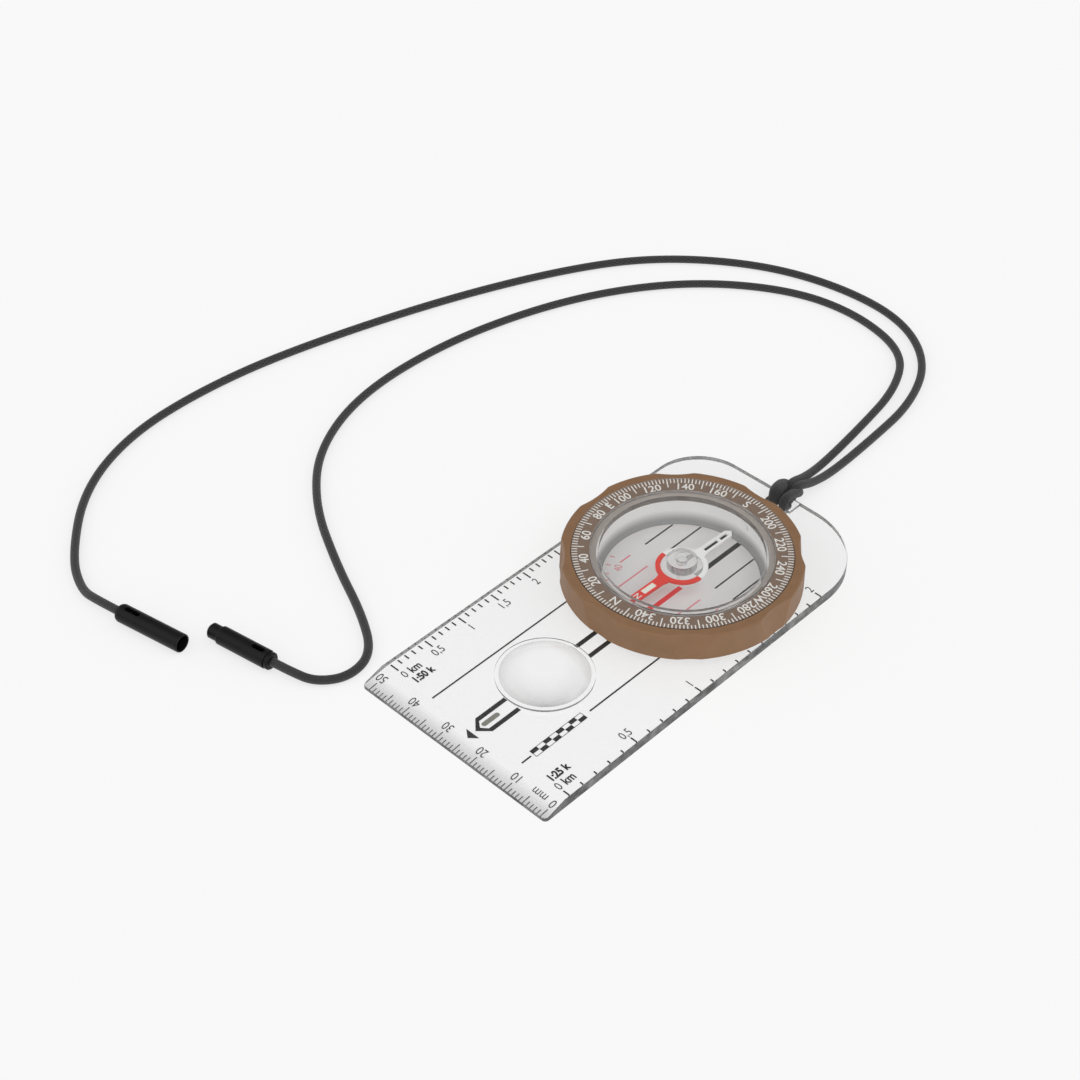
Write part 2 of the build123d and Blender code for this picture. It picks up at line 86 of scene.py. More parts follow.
CAMERA_PLACE = (-221.94, 256.65, 329.74)
CAMERA_TARGET = (31.22, -4.26, 1.2)
FOCAL_LENGTH = 72.44
SENSOR_WIDTH = 36.0


def add_camera():
    """The camera of the product view: above the plate's front left corner, with a long lens."""
    data = bpy.data.cameras.new("camera")
    data.lens = FOCAL_LENGTH
    data.sensor_width = SENSOR_WIDTH
    data.clip_start = 0.01
    data.clip_end = 20.0
    camera = bpy.data.objects.new("camera", data)
    scene.collection.objects.link(camera)
    camera.location = mm(*CAMERA_PLACE)
    aim = mm(*CAMERA_TARGET) - camera.location
    camera.rotation_euler = aim.to_track_quat("-Z", "Y").to_euler()
    scene.camera = camera


# Node helpers

def new_material(name):
    """A node material, with its nodes, its links and its Principled shader."""
    material = bpy.data.materials.new(name)
    material.use_nodes = True
    nodes = material.node_tree.nodes
    return material, nodes, material.node_tree.links, nodes["Principled BSDF"]


def coordinates(nodes, output="Object"):
    """An output of the texture coordinates."""
    return nodes.new("ShaderNodeTexCoord").outputs[output]


def noise(nodes, links, vector, scale, detail=3.0):
    """A noise texture's value; scale is in waves per metre."""
    node = nodes.new("ShaderNodeTexNoise")
    node.inputs["Scale"].default_value = scale
    node.inputs["Detail"].default_value = detail
    node.inputs["Roughness"].default_value = 0.55
    links.new(vector, node.inputs["Vector"])
    return node.outputs["Fac"]


def mapped(nodes, links, value, low, high, from_low=0.0, from_high=1.0):
    """A value carried from one range to another, and kept inside it."""
    node = nodes.new("ShaderNodeMapRange")
    node.inputs["From Min"].default_value = from_low
    node.inputs["From Max"].default_value = from_high
    node.inputs["To Min"].default_value = low
    node.inputs["To Max"].default_value = high
    links.new(value, node.inputs["Value"])
    return node.outputs["Result"]


def mixed(nodes, links, factor, first, second):
    """A colour between two, by a factor. Each is three numbers or another node's output."""
    node = nodes.new("ShaderNodeMix")
    node.data_type = "RGBA"
    for socket, colour in (("A", first), ("B", second)):
        target = [item for item in node.inputs if item.name == socket and item.type == "RGBA"][0]
        if isinstance(colour, tuple):
            target.default_value = (*colour, 1.0)
        else:
            links.new(colour, target)
    links.new(factor, node.inputs["Factor"])
    return [item for item in node.outputs if item.type == "RGBA"][0]


def arithmetic(nodes, links, operation, first, second):
    """A sum or the like of two terms, each a number or another node's output."""
    node = nodes.new("ShaderNodeMath")
    node.operation = operation
    for index, term in enumerate((first, second)):
        if isinstance(term, (int, float)):
            node.inputs[index].default_value = term
        else:
            links.new(term, node.inputs[index])
    return node.outputs["Value"]


def bump(nodes, links, shader, height, distance, strength):
    """A bump on a shader's normal; distance is in metres."""
    node = nodes.new("ShaderNodeBump")
    node.inputs["Strength"].default_value = strength
    node.inputs["Distance"].default_value = distance
    links.new(height, node.inputs["Height"])
    links.new(node.outputs["Normal"], shader.inputs["Normal"])


def blended(nodes, links, factor, first, second):
    """One shader over another, by a factor."""
    node = nodes.new("ShaderNodeMixShader")
    links.new(factor, node.inputs["Fac"])
    links.new(first, node.inputs[1])
    links.new(second, node.inputs[2])
    return node.outputs["Shader"]


def steepness(nodes, links):
    """0 on level and nearly level faces, rising to 1 on steep ones."""
    split = nodes.new("ShaderNodeSeparateXYZ")
    links.new(nodes.new("ShaderNodeNewGeometry").outputs["Normal"], split.inputs["Vector"])
    level = arithmetic(nodes, links, "ABSOLUTE", split.outputs["Z"], 0.0)
    return mapped(nodes, links, level, 1.0, 0.0, 0.3, 0.97)


def ramp(nodes, links, axis, start, end, low, high):
    """A value that changes along one axis of the model, between two places in millimetres."""
    split = nodes.new("ShaderNodeSeparateXYZ")
    links.new(coordinates(nodes), split.inputs["Vector"])
    return mapped(nodes, links, split.outputs[axis], low, high, start * MM, end * MM)


def from_dial_axis(nodes, links, start, end, low, high):
    """A value that changes with the distance from the dial's axis, between two radii in millimetres."""
    flat = nodes.new("ShaderNodeVectorMath")
    flat.operation = "MULTIPLY"
    flat.inputs[1].default_value = (1.0, 1.0, 0.0)
    links.new(coordinates(nodes), flat.inputs[0])
    away = nodes.new("ShaderNodeVectorMath")
    away.operation = "DISTANCE"
    away.inputs[1].default_value = (dial_centre.x, dial_centre.y, 0.0)
    links.new(flat.outputs["Vector"], away.inputs[0])
    return mapped(nodes, links, away.outputs["Value"], low, high, start * MM, end * MM)


# Clear materials

ACRYLIC_IOR = 1.49
CLEAR_TINT = (0.99, 0.995, 0.995)


def shaded(colour, factor):
    """A colour made darker or lighter."""
    return tuple(channel * factor for channel in colour)


def clear_acrylic(name, tint, smudged, satin_shade_tone, satin_shade_share, unevenness=0.1):
    """Clear moulded plastic with faint smudges in its gloss, and painted shade on its upright faces: grey
    satin with uneven streaks.

    Soft light goes straight through it. Returns the material, its satin shader of painted shade and the
    share of that satin.
    """
    material, nodes, links, shader = new_material(name)
    shader.inputs["Base Color"].default_value = (*tint, 1.0)
    shader.inputs["Transmission Weight"].default_value = 1.0
    shader.inputs["IOR"].default_value = ACRYLIC_IOR
    place = coordinates(nodes)
    smudges = noise(nodes, links, place, 90.0, 5.0)
    links.new(mapped(nodes, links, smudges, 0.0, smudged, 0.35, 0.75), shader.inputs["Roughness"])
    # Painted shade: grey satin on upright faces, with uneven streaks, in place of the dark lines at clear
    # edges.
    satin_shade = nodes.new("ShaderNodeBsdfPrincipled")
    shade_streaks = mapped(nodes, links, noise(nodes, links, place, 350.0, 4.0), 0.0, 1.0, 0.3, 0.7)
    dark, light = (shaded(satin_shade_tone, 1.0 + sign * unevenness) for sign in (-1, 1))
    links.new(mixed(nodes, links, shade_streaks, dark, light), satin_shade.inputs["Base Color"])
    satin_shade.inputs["Roughness"].default_value = 0.45
    share = arithmetic(nodes, links, "MULTIPLY", steepness(nodes, links), satin_shade_share)
    clear = blended(nodes, links, share, shader.outputs["BSDF"], satin_shade.outputs["BSDF"])
    path = nodes.new("ShaderNodeLightPath")
    soft = arithmetic(nodes, links, "MAXIMUM", path.outputs["Is Shadow Ray"], path.outputs["Is Diffuse Ray"])
    passing = nodes.new("ShaderNodeBsdfTransparent")
    passing.inputs["Color"].default_value = (0.985, 0.985, 0.985, 1.0)
    surface = blended(nodes, links, soft, clear, passing.outputs["BSDF"])
    links.new(surface, nodes["Material Output"].inputs["Surface"])
    return material, satin_shade, share


def replace_share(links, share, total):
    """Lets another value decide how much of the satin painted shade is mixed in."""
    for link in list(share.links):
        if link.to_node.type == "MIX_SHADER":
            links.new(total, link.to_socket)


def plate_acrylic():
    """The plate's clear plastic: painted shade as grey satin on its upright faces, and painted shade on the
    bevel that grows towards its front edge.
    """
    material, satin_shade, share = clear_acrylic("clear_plate", (0.997, 0.998, 0.998), smudged=0.02,
                                           satin_shade_tone=(0.125, 0.125, 0.125), satin_shade_share=0.85,
                                           unevenness=0.9)
    nodes, links = material.node_tree.nodes, material.node_tree.links
    shade_streaks = satin_shade.inputs["Base Color"].links[0].from_socket
    level = arithmetic(nodes, links, "SUBTRACT", 1.0, steepness(nodes, links))
    in_front = ramp(nodes, links, "Y", 48.0, 48.2, 0.0, 1.0)
    bevel = arithmetic(nodes, links, "MULTIPLY", in_front, level)
    # Painted shade: the bevel's level faces take a darker grey satin.
    links.new(mixed(nodes, links, bevel, shade_streaks, (0.28, 0.28, 0.28)), satin_shade.inputs["Base Color"])
    # Painted shade: more of the grey satin towards the bevel's front edge.
    painted_bevel_shade = ramp(nodes, links, "Y", 49.9, 53.6, 0.0, 0.3)
    replace_share(links, share, arithmetic(nodes, links, "MAXIMUM", share, painted_bevel_shade))
    return material


def cup_acrylic():
    """The capsule cup's plastic: a clear floor and a milky wall, with painted shade that darkens the wall
    towards the floor.
    """
    milk = 0.92
    material, satin_shade, share = clear_acrylic("clear_cup", CLEAR_TINT, smudged=0.015,
                                           satin_shade_tone=(0.8, 0.8, 0.79), satin_shade_share=milk)
    nodes, links = material.node_tree.nodes, material.node_tree.links
    # Painted shade: the wall's tone darkens below 4.4 mm towards the floor.
    rise = ramp(nodes, links, "Z", 1.6, 4.4, 0.0, 1.0)
    tone = mixed(nodes, links, rise, (0.34, 0.34, 0.34), (0.96, 0.96, 0.95))
    links.new(tone, satin_shade.inputs["Base Color"])
    wall = from_dial_axis(nodes, links, 17.3, 17.7, 0.0, milk)
    replace_share(links, share, arithmetic(nodes, links, "MAXIMUM", share, wall))
    return material


def hub_acrylic():
    """The needle hub's plastic: slightly milky level faces, with painted shade in grey on its upright steps.
    """
    least_milk = 0.24
    material, satin_shade, share = clear_acrylic("clear_hub", CLEAR_TINT, smudged=0.015,
                                           satin_shade_tone=(0.9, 0.9, 0.9), satin_shade_share=0.45)
    nodes, links = material.node_tree.nodes, material.node_tree.links
    # Painted shade: upright steps grey, level faces pale.
    tone = mixed(nodes, links, steepness(nodes, links), (0.96, 0.96, 0.96), (0.24, 0.24, 0.24))
    links.new(tone, satin_shade.inputs["Base Color"])
    replace_share(links, share, arithmetic(nodes, links, "MAXIMUM", share, least_milk))
    return material


def lid_acrylic():
    """The lid's clear plastic, with painted shade as grey, uneven satin on its upright faces."""
    return clear_acrylic("clear_lid", CLEAR_TINT, smudged=0.012, satin_shade_tone=(0.20, 0.195, 0.19),
                         satin_shade_share=0.5, unevenness=0.6)[0]


# Opaque materials

def soft_rubber():
    """Brown matte rubber with a fine moulded grain and slightly paler, rubbed patches."""
    material, nodes, links, shader = new_material("brown_rubber")
    place = coordinates(nodes)
    patches = noise(nodes, links, place, 260.0, 4.0)
    wear = mapped(nodes, links, patches, 0.0, 1.0, 0.3, 0.7)
    tone = mixed(nodes, links, wear, (0.232, 0.123, 0.058), (0.262, 0.142, 0.070))
    links.new(tone, shader.inputs["Base Color"])
    links.new(mapped(nodes, links, patches, 0.50, 0.66), shader.inputs["Roughness"])
    bump(nodes, links, shader, noise(nodes, links, place, 9000.0, 2.0), 0.02 * MM, 0.5)
    shader.inputs["Specular IOR Level"].default_value = 0.35
    shader.inputs["Sheen Weight"].default_value = 0.08
    return material


def scale_plastic():
    """The brown plastic under the dial's printed scale."""
    material, nodes, links, shader = new_material("scale_plastic")
    place = coordinates(nodes)
    patches = noise(nodes, links, place, 400.0, 3.0)
    tone = mixed(nodes, links, patches, (0.190, 0.118, 0.078), (0.225, 0.145, 0.100))
    links.new(tone, shader.inputs["Base Color"])
    links.new(mapped(nodes, links, patches, 0.35, 0.5), shader.inputs["Roughness"])
    return material


def ink(name, colour, variation=0.15):
    """Printed ink, or plain moulded plastic, with a slightly uneven tone and gloss."""
    material, nodes, links, shader = new_material(name)
    cover = noise(nodes, links, coordinates(nodes), 1500.0, 4.0)
    thin = tuple(channel + 0.01 * variation for channel in shaded(colour, 1.0 + variation))
    links.new(mixed(nodes, links, cover, colour, thin), shader.inputs["Base Color"])
    links.new(mapped(nodes, links, cover, 0.45, 0.60), shader.inputs["Roughness"])
    return material


def frosted_disc():
    """The pale disc on the capsule's floor, lightly frosted."""
    material, nodes, links, shader = new_material("frosted_disc")
    cloud = noise(nodes, links, coordinates(nodes), 180.0, 3.0)
    tone = mixed(nodes, links, cloud, (0.90, 0.89, 0.885), (0.94, 0.93, 0.925))
    links.new(tone, shader.inputs["Base Color"])
    shader.inputs["Transmission Weight"].default_value = 0.1
    shader.inputs["IOR"].default_value = ACRYLIC_IOR
    links.new(mapped(nodes, links, cloud, 0.45, 0.6), shader.inputs["Roughness"])
    return material


def painted_needle():
    """Steel painted red on its north half and white on its south half, with a little orange peel."""
    material, nodes, links, shader = new_material("painted_needle")
    place = coordinates(nodes)
    north = Vector((-math.sin(NEEDLE_TURN), math.cos(NEEDLE_TURN), 0.0))
    along = nodes.new("ShaderNodeVectorMath")
    along.operation = "DOT_PRODUCT"
    along.inputs[1].default_value = north
    links.new(place, along.inputs[0])
    middle = north.dot(dial_centre)
    soft = 0.03 * MM
    half = mapped(nodes, links, along.outputs["Value"], 0.0, 1.0, middle - soft, middle + soft)
    cover = noise(nodes, links, place, 900.0, 3.0)
    red = mixed(nodes, links, cover, (0.80, 0.034, 0.022), (0.86, 0.050, 0.032))
    white = mixed(nodes, links, cover, (0.93, 0.93, 0.92), (0.96, 0.96, 0.95))
    links.new(mixed(nodes, links, half, white, red), shader.inputs["Base Color"])
    links.new(mapped(nodes, links, cover, 0.28, 0.4), shader.inputs["Roughness"])
    bump(nodes, links, shader, cover, 0.01 * MM, 0.3)
    return material


def luminous_paint():
    """Pale luminous compound, slightly grainy."""
    material, nodes, links, shader = new_material("luminous")
    grain = noise(nodes, links, coordinates(nodes), 5000.0, 2.0)
    tone = mixed(nodes, links, grain, (0.86, 0.85, 0.74), (0.95, 0.94, 0.84))
    links.new(tone, shader.inputs["Base Color"])
    shader.inputs["Roughness"].default_value = 0.6
    bump(nodes, links, shader, grain, 0.02 * MM, 0.4)
    return material


def pin_steel():
    """The pivot pin's ground steel, with fine tool marks."""
    material, nodes, links, shader = new_material("pin_steel")
    marks = noise(nodes, links, coordinates(nodes), 3000.0, 2.0)
    shader.inputs["Base Color"].default_value = (0.65, 0.65, 0.67, 1.0)
    shader.inputs["Metallic"].default_value = 1.0
    links.new(mapped(nodes, links, marks, 0.15, 0.27), shader.inputs["Roughness"])
    return material


def black_plastic():
    """Black moulded plastic with a fine spark-eroded texture."""
    material, nodes, links, shader = new_material("black_plastic")
    place = coordinates(nodes)
    patches = noise(nodes, links, place, 500.0, 3.0)
    tone = mixed(nodes, links, patches, (0.004, 0.004, 0.004), (0.008, 0.008, 0.008))
    links.new(tone, shader.inputs["Base Color"])
    links.new(mapped(nodes, links, patches, 0.30, 0.42), shader.inputs["Roughness"])
    shader.inputs["Specular IOR Level"].default_value = 0.17
    bump(nodes, links, shader, noise(nodes, links, place, 7000.0, 2.0), 0.015 * MM, 0.35)
    return material


def braided_cord(length, diameter):
    """Black braid: two sets of yarns wind round the cord's length, over and under each other, with painted
    shade darkening the grooves between them.
    """
    yarns = 8
    lay = 3.2 * diameter
    material, nodes, links, shader = new_material("braided_cord")
    split = nodes.new("ShaderNodeSeparateXYZ")
    links.new(coordinates(nodes, "UV"), split.inputs["Vector"])
    along = arithmetic(nodes, links, "MULTIPLY", split.outputs["X"], yarns * length / lay)
    around = arithmetic(nodes, links, "MULTIPLY", split.outputs["Y"], yarns)
    waves = []
    for operation in ("ADD", "SUBTRACT"):
        turn = arithmetic(nodes, links, operation, along, around)
        phase = arithmetic(nodes, links, "MULTIPLY", turn, 2 * math.pi)
        waves.append(arithmetic(nodes, links, "SINE", phase, 0.0))
    weave = arithmetic(nodes, links, "MAXIMUM", waves[0], waves[1])
    fuzz = noise(nodes, links, coordinates(nodes), 6000.0, 3.0)
    height = arithmetic(nodes, links, "ADD", weave, fuzz)
    # Painted shade: the grooves between yarns are darker than their crowns.
    painted_groove_shade = mapped(nodes, links, weave, 0.0, 1.0, -0.2, 1.0)
    tone = mixed(nodes, links, painted_groove_shade, (0.009, 0.009, 0.009), (0.032, 0.032, 0.033))
    links.new(tone, shader.inputs["Base Color"])
    shader.inputs["Roughness"].default_value = 0.78
    shader.inputs["Sheen Weight"].default_value = 0.25
    shader.inputs["Sheen Roughness"].default_value = 0.5
    bump(nodes, links, shader, height, 0.06 * MM, 0.8)
    return material


def dress(node, material):
    """Gives a CAD node its material."""
    for item in frame["nodes"][node].material_slots:
        item.link = "OBJECT"
        item.material = material


# Meshes of thin printed marks

ROUND_END_STEPS = 10

# The font's digits are this share of its size. Letters are extruded by FONT_DEPTH of their size, both ways,
# and then flattened to LETTER_DEPTH millimetres.
DIGIT_SHARE = 0.73
FONT_DEPTH = 0.004
LETTER_DEPTH = 0.01


def solid_outline(mesh, corners, bottom, top):
    """A thin flat solid over a polygon; all in millimetres."""
    low = [mesh.verts.new(mm(x, y, bottom)) for x, y in corners]
    high = [mesh.verts.new(mm(x, y, top)) for x, y in corners]
    mesh.faces.new(list(reversed(low)))
    mesh.faces.new(high)
    for index in range(len(corners)):
        after = (index + 1) % len(corners)
        mesh.faces.new((low[index], low[after], high[after], high[index]))


def stroke(mesh, start, end, width, bottom, top):
    """A straight printed line of one width."""
    along = Vector(end) - Vector(start)
    side = Vector((-along.y, along.x)).normalized() * width / 2
    first, last = Vector(start), Vector(end)
    solid_outline(mesh, [first - side, last - side, last + side, first + side], bottom, top)


def rounded_bar(mesh, start, end, width, bottom, top):
    """A printed line with round ends."""
    along = Vector(end) - Vector(start)
    heading = math.atan2(along.y, along.x)
    corners = []
    for centre, turn in ((Vector(end), -0.5), (Vector(start), 0.5)):
        for step in range(ROUND_END_STEPS + 1):
            angle = heading + math.pi * (turn + step / ROUND_END_STEPS)
            corners.append(centre + Vector((math.cos(angle), math.sin(angle))) * width / 2)
    solid_outline(mesh, corners, bottom, top)


def lettering(mesh, text, height, matrix, squeeze=0.82, weight=0.0):
    """Adds a word to a mesh: the middle of its foot is at the matrix's origin.

    height is that of its digits in millimetres, squeeze narrows it, and weight thickens its strokes, by a
    share of the font's size.
    """
    curve = bpy.data.curves.new(text, "FONT")
    curve.body = text
    curve.align_x = "CENTER"
    curve.offset = weight
    curve.extrude = FONT_DEPTH
    curve.resolution_u = 4
    written = bpy.data.objects.new(text, curve)
    flat = bpy.data.meshes.new_from_object(written)
    size = height * MM / DIGIT_SHARE
    shape = Matrix.Diagonal((size * squeeze, size, LETTER_DEPTH * MM / FONT_DEPTH, 1.0))
    flat.transform(matrix @ shape)
    mesh.from_mesh(flat)
    bpy.data.objects.remove(written)
    bpy.data.curves.remove(curve)
    bpy.data.meshes.remove(flat)


def upright(x, y, z, turn=0.0):
    """A place for lettering: millimetres, and degrees anticlockwise from above."""
    return Matrix.Translation(mm(x, y, z)) @ Matrix.Rotation(math.radians(turn), 4, "Z")


def finish_mesh(name, mesh, material, body):
    """Turns a bmesh into a piece of the model that rides on a body."""
    data = bpy.data.meshes.new(name)
    mesh.to_mesh(data)
    mesh.free()
    data.materials.append(material)
    piece = bpy.data.objects.new(name, data)
    scene.collection.objects.link(piece)
    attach(piece, body)


# Printing on the underside of the plate. The ink lies just inside the bottom face.

INK_LOW = 0.01
INK_HIGH = 0.03
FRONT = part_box("baseplate")[1].y / MM

RULER_ZERO = -25.0
RULER_LENGTH = 50
RULER_START = FRONT - 0.12
RULER_FOOT = FRONT - 5.35
RULER_TICK = 1.6
RULER_LONG_TICK = 2.6
RULER_TICK_WIDTH = 0.24
RULER_DIGITS = 2.25
RULER_DIGIT_SHIFT = 0.15
RULER_UNIT_SHIFT = 3.9

# The map scales: the Y of their zero, their words and their ticks. Weights are shares of the font's size.
MAP_ZERO = 46.1
MAP_ZERO_WORD = 45.95
MAP_UNIT = 43.0
MAP_RATIO = 43.3
MAP_TICK_WIDTH = 0.38
MAP_DIGITS = 2.15
RIGHT_MAP_DIGITS = 2.2
RATIO_DIGITS = 1.95
RATIO_WEIGHT = 0.045
UNIT_WEIGHT = 0.025

# Each guide line's X, and the Y of its two ends
GUIDE_WIDTH = 0.4
GUIDES = ((13.1, 46.7, 4.0), (-13.0, 26.5, 3.0), (-13.0, 46.6, 43.9))

# The travel arrow: two bars, each in a rear and a front stretch, a head, a triangle and a luminous bar
TRAVEL_X = 2.0
TRAVEL_HALF_WIDTH = 0.55
TRAVEL_REAR = (8.0, 15.0)
TRAVEL_FRONT = (36.2, 44.5)
TRAVEL_TIPS = (45.65, 46.95)
TRIANGLE = ((-1.9, 47.45), (1.9, 47.45), (0.0, 49.0))
MARKER_X = 0.1
MARKER_ENDS = (40.6, 44.3)
MARKER_WIDTH = 1.2

# The chequered bar
BAR_BLOCKS = 8
BAR_X = -12.9
BAR_HALF_WIDTH = 1.0
BAR_ENDS = (28.2, 43.2)
BAR_OUTLINE = 0.14


def ruler(mesh):
    """The millimetre ruler along the front edge, with its numbers behind it."""
    for step in range(RULER_LENGTH + 1):
        length = RULER_LONG_TICK if step % 5 == 0 else RULER_TICK
        x = RULER_ZERO + step
        stroke(mesh, (x, RULER_START), (x, RULER_START - length), RULER_TICK_WIDTH, INK_LOW, INK_HIGH)
    words = [(str(tens), tens + RULER_DIGIT_SHIFT) for tens in range(0, RULER_LENGTH + 1, 10)]
    for word, shift in [*words, ("mm", RULER_UNIT_SHIFT)]:
        lettering(mesh, word, RULER_DIGITS, upright(RULER_ZERO + shift, RULER_FOOT, INK_HIGH))


def side_scale(mesh, edge, inward, long_tick, tick, spacing, per_long, end):
    """The ticks of a map scale along one side. edge is their outer X, and inward is -1 or 1."""
    steps = round((MAP_ZERO - end) / spacing)
    for step in range(steps + 1):
        length = long_tick if step % per_long == 0 else tick
        y = MAP_ZERO - step * spacing
        stroke(mesh, (edge, y), (edge + inward * length, y), MAP_TICK_WIDTH, INK_LOW, INK_HIGH)


def map_words(mesh, foot, height, half_kilometre):
    """A map scale's unit and numbers, reading from front to rear, with one for each half kilometre."""
    lettering(mesh, "0", MAP_DIGITS, upright(foot, MAP_ZERO_WORD, INK_HIGH, -90))
    lettering(mesh, "km", MAP_DIGITS, upright(foot, MAP_UNIT, INK_HIGH, -90), weight=UNIT_WEIGHT)
    for index, word in enumerate(("0,5", "1", "1,5", "2"), start=1):
        y = MAP_ZERO - index * half_kilometre
        lettering(mesh, word, height, upright(foot, y, INK_HIGH, -90))


def right_map_scale(mesh):
    """The 1:50 000 scale: 10 mm for half a kilometre."""
    side_scale(mesh, 26.45, -1, long_tick=2.4, tick=1.4, spacing=2.0, per_long=5, end=-3.9)
    map_words(mesh, 21.35, RIGHT_MAP_DIGITS, half_kilometre=10.0)
    lettering(mesh, "1:50 k", RATIO_DIGITS, upright(18.6, MAP_RATIO, INK_HIGH, -90), weight=RATIO_WEIGHT)


def left_map_scale(mesh):
    """The 1:25 000 scale: 20 mm for half a kilometre."""
    side_scale(mesh, -25.9, 1, long_tick=1.75, tick=0.9, spacing=4.0, per_long=5, end=-33.9)
    map_words(mesh, -23.6, MAP_DIGITS, half_kilometre=20.0)
    lettering(mesh, "1:25 k", RATIO_DIGITS, upright(-20.85, MAP_RATIO, INK_HIGH, -90), weight=RATIO_WEIGHT)


def travel_arrow(mesh):
    """The two travel bars, the pointed head in front of the lens and the small triangle at the bevel."""
    inner_tip, outer_tip = TRAVEL_TIPS
    for side in (-1, 1):
        x = TRAVEL_X * side
        for start, end in (TRAVEL_REAR, TRAVEL_FRONT):
            stroke(mesh, (x, start), (x, end), 2 * TRAVEL_HALF_WIDTH, INK_LOW, INK_HIGH)
        outer = (x + TRAVEL_HALF_WIDTH * side, TRAVEL_FRONT[1])
        inner = (x - TRAVEL_HALF_WIDTH * side, TRAVEL_FRONT[1])
        corners = [inner, outer, (0.0, outer_tip), (0.0, inner_tip)]
        solid_outline(mesh, corners if side > 0 else corners[::-1], INK_LOW, INK_HIGH)
    solid_outline(mesh, TRIANGLE, INK_LOW, INK_HIGH)


def chequered_bar(mesh):
    """A plain bar of alternate blocks in an outline, in line with the left guide line."""
    start, end = BAR_ENDS
    step = (end - start) / BAR_BLOCKS
    for index in range(BAR_BLOCKS):
        side = 1 if index % 2 else -1
        x = BAR_X + side * BAR_HALF_WIDTH / 2
        y = start + index * step
        stroke(mesh, (x, y), (x, y + step), BAR_HALF_WIDTH, INK_LOW, INK_HIGH)
    left, right = BAR_X - BAR_HALF_WIDTH, BAR_X + BAR_HALF_WIDTH
    for x in (left, right):
        stroke(mesh, (x, start), (x, end), BAR_OUTLINE, INK_LOW, INK_HIGH)
    for y in BAR_ENDS:
        stroke(mesh, (left, y), (right, y), BAR_OUTLINE, INK_LOW, INK_HIGH)


def plate_printing():
    """Everything printed in black on the plate."""
    mesh = bmesh.new()
    ruler(mesh)
    right_map_scale(mesh)
    left_map_scale(mesh)
    for x, start, end in GUIDES:
        stroke(mesh, (x, start), (x, end), GUIDE_WIDTH, INK_LOW, INK_HIGH)
    travel_arrow(mesh)
    chequered_bar(mesh)
    finish_mesh("plate_printing", mesh, black_ink, PLATE)


def travel_marker():
    """The luminous bar inside the travel arrow."""
    mesh = bmesh.new()
    start, end = ((MARKER_X, y) for y in MARKER_ENDS)
    rounded_bar(mesh, start, end, MARKER_WIDTH, INK_LOW, INK_HIGH)
    finish_mesh("travel_marker", mesh, marker_paint, PLATE)


# Printing on the dial

PRINT_DEPTH = 0.02
PRINT_GAP = 0.01

# The degree scale's ticks, from their outer radius, and the radius at the foot of its numbers
DEGREE_EDGE = 24.35
DEGREE_TICK = 1.3
DEGREE_LONG_TICK = 2.8
DEGREE_TICK_WIDTH = 0.27
DEGREE_FOOT = 20.75
DEGREE_DIGITS = 2.15
DEGREE_WEIGHT = 0.012

# Lines on the disc. Each is (distance to the side, width, length), and all start as far from its middle.
NORTH_LINE_START = 2.5
ORIENTING_LINES = ((2.1, 1.2, 14.9),)
NORTH_LINES = ((7.75, 0.4, 10.0), (12.9, 0.4, 3.4))
SOUTH_LINES = ((2.1, 1.2, 14.9), (7.75, 0.4, 13.2), (12.9, 0.4, 9.3))

# The declination ticks' inner and outer radius, and the place of their number in millimetres and degrees
DECLINATION_TICK = (15.9, 17.0)
DECLINATION_TICK_WIDTH = 0.3
DECLINATION_FOOT = 13.3
DECLINATION_BEARING = 58
DECLINATION_DIGITS = 1.9

NEEDLE_LETTER_FOOT = 13.3
NEEDLE_LETTER_LIFT = 0.012


def outwards(bearing):
    """The flat direction of a bearing, in degrees clockwise from the dial's north."""
    angle = math.radians(bearing)
    return Vector((math.sin(angle), math.cos(angle)))


def around_dial(radius, bearing, z):
    """A place for lettering on the dial, with +Y outwards. The radius and the height are in millimetres."""
    spot = dial_centre.xy + outwards(bearing) * radius * MM
    return Matrix.Translation((*spot, z * MM)) @ Matrix.Rotation(math.radians(-bearing), 4, "Z")


def radial_tick(mesh, bearing, inner, outer, width, bottom):
    """A printed tick that points at the dial's axis."""
    middle = dial_centre.xy / MM
    outward = outwards(bearing)
    stroke(mesh, middle + outward * inner, middle + outward * outer, width, bottom, bottom + PRINT_DEPTH)


def dial_printing():
    """White degree ticks and numbers on the scale ring, under the capsule's clear flange."""
    mesh = bmesh.new()
    bottom = top_of("scale_ring") / MM + PRINT_GAP
    for bearing in range(0, 360, 2):
        length = DEGREE_LONG_TICK if bearing % 20 == 10 else DEGREE_TICK
        radial_tick(mesh, bearing, DEGREE_EDGE - length, DEGREE_EDGE, DEGREE_TICK_WIDTH, bottom)
    names = {0: "N", 90: "E", 180: "S", 270: "W"}
    for bearing in sorted({*range(0, 360, 20), *names}):
        text = names.get(bearing, str(bearing))
        place = around_dial(DEGREE_FOOT, bearing, bottom + PRINT_DEPTH)
        lettering(mesh, text, DEGREE_DIGITS, place, squeeze=1.0, weight=DEGREE_WEIGHT)
    finish_mesh("dial_printing", mesh, white_ink, DIAL)


def floor_lines(name, material, heading, lines):
    """Lines on the disc, in pairs beside its middle. heading is 1 to the north and -1 to the south."""
    mesh = bmesh.new()
    bottom = top_of("orienting_disc") / MM
    middle = dial_centre / MM
    near = middle.y + heading * NORTH_LINE_START
    for offset, width, length in lines:
        for x in (middle.x - offset, middle.x + offset):
            stroke(mesh, (x, near), (x, near + heading * length), width, bottom, bottom + PRINT_DEPTH)
    finish_mesh(name, mesh, material, DIAL)


